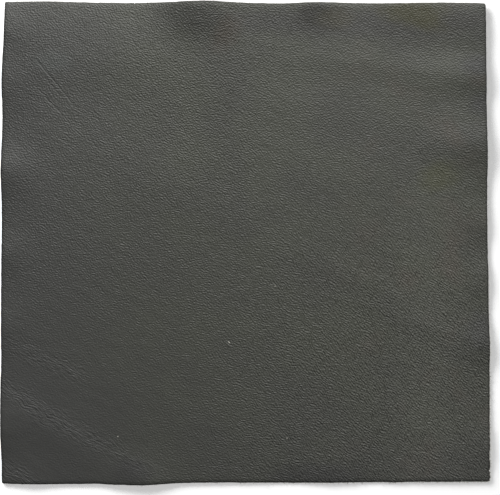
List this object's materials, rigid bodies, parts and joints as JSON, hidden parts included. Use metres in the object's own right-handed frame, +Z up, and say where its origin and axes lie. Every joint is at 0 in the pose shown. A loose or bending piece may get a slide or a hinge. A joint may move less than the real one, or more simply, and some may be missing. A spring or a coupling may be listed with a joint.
{
  "type": "leather square",
  "caption": "Square blank of tumbled full-grain leather with a fine pebbled grain, lying flat with its cut edges lifted in soft waves.",
  "frame": {"origin": "middle of the sheet, on the surface it lies on (centre of the bounding box, at its bottom)", "axes": "+Z up out of the grain side, +Y towards the edge with the biggest wave, +X to the right seen from above"},
  "size_m": [0.3062, 0.3026, 0.006],
  "materials": {
    "grain_side": "dark grey-olive, pigmented, soft satin sheen, fine pebbled grain",
    "flesh_side": "raw suede-like nap, matt, greyer and paler than the grain"
  },
  "bodies": {
    "root": {"grain_layer": "grain_side", "flesh_layer": "flesh_side"}
  },
  "joints": []
}
